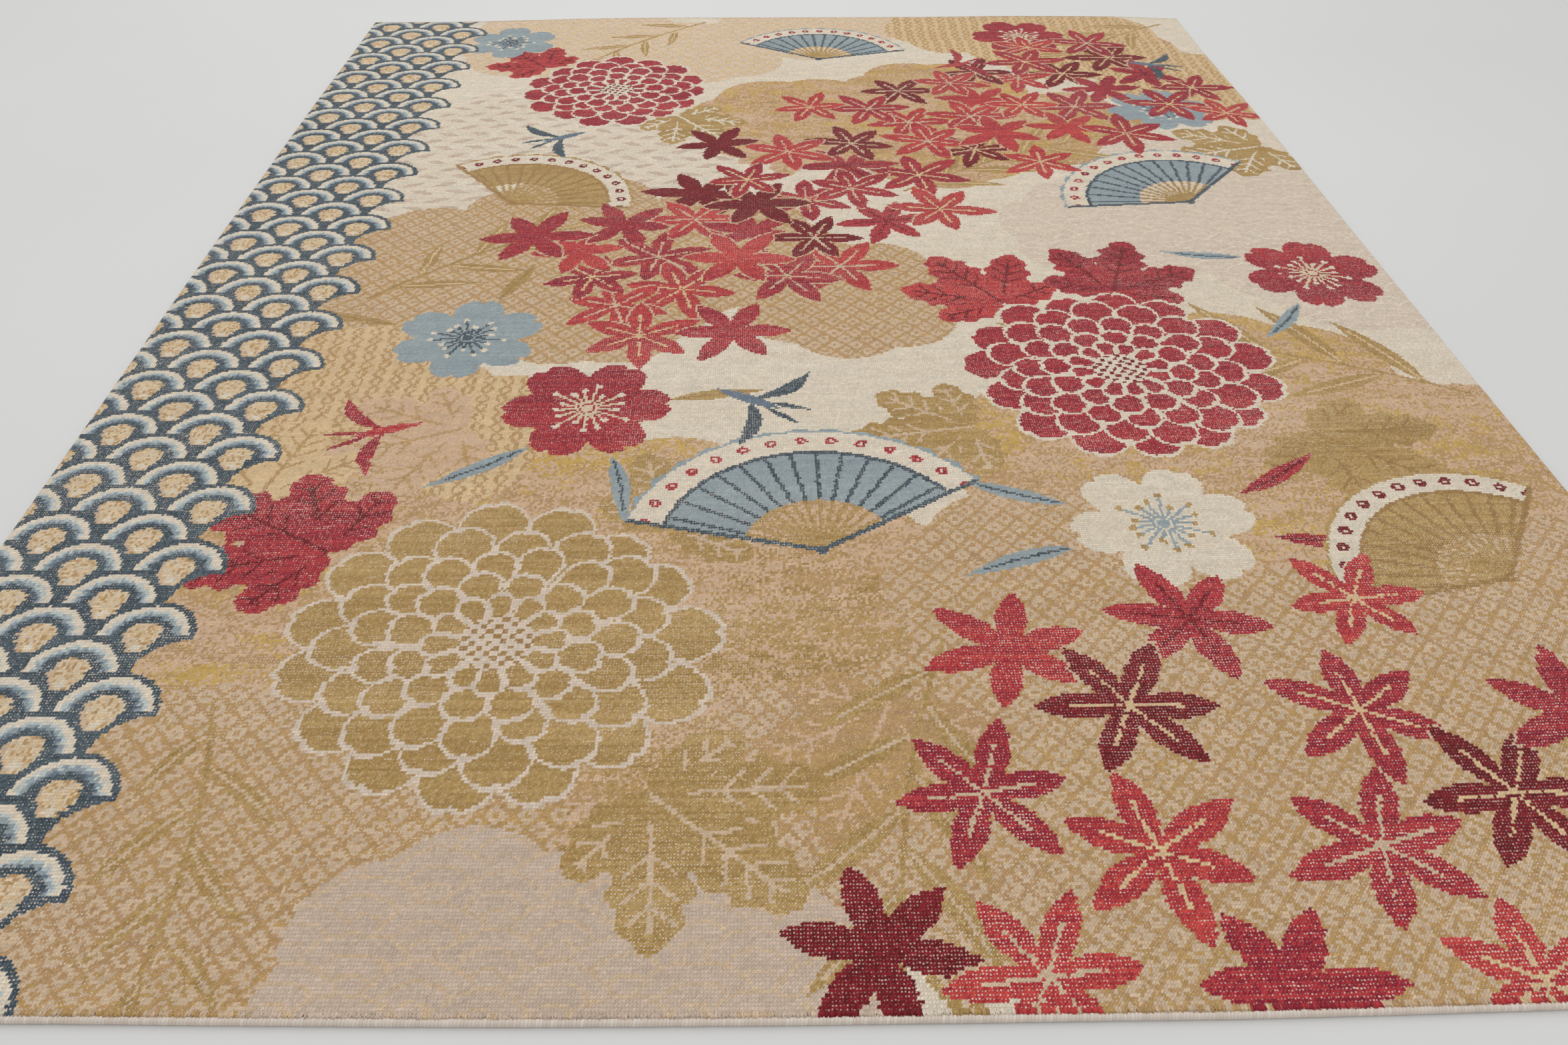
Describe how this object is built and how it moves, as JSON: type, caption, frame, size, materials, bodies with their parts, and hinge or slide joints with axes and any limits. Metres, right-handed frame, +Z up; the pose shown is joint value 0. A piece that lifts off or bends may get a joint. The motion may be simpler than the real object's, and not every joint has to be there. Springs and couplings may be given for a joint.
{
  "type": "pictorial rug",
  "caption": "Large flat hand-knotted wool rug with a fish-scale wave border along one side, a field of clouds, star flowers, rosettes and fans, and whipped ends.",
  "frame": {"origin": "on the floor under the middle of the rug: the bottom centre of its bounding box", "axes": "+Z up out of the pile, +Y along the rug from the near end to the far end, +X across it, away from the wave border"},
  "size_m": [2.7499, 3.67, 0.009],
  "materials": {
    "wool_pile": "low hand-knotted wool pile in cream, gold, crimson, steel blue and slate",
    "whipping_yarn": "pinkish cream yarn wound over the ends"
  },
  "bodies": {
    "root": {"knotted_field": "wool_pile", "whipped_end_near": "whipping_yarn", "whipped_end_far": "whipping_yarn"}
  },
  "joints": []
}
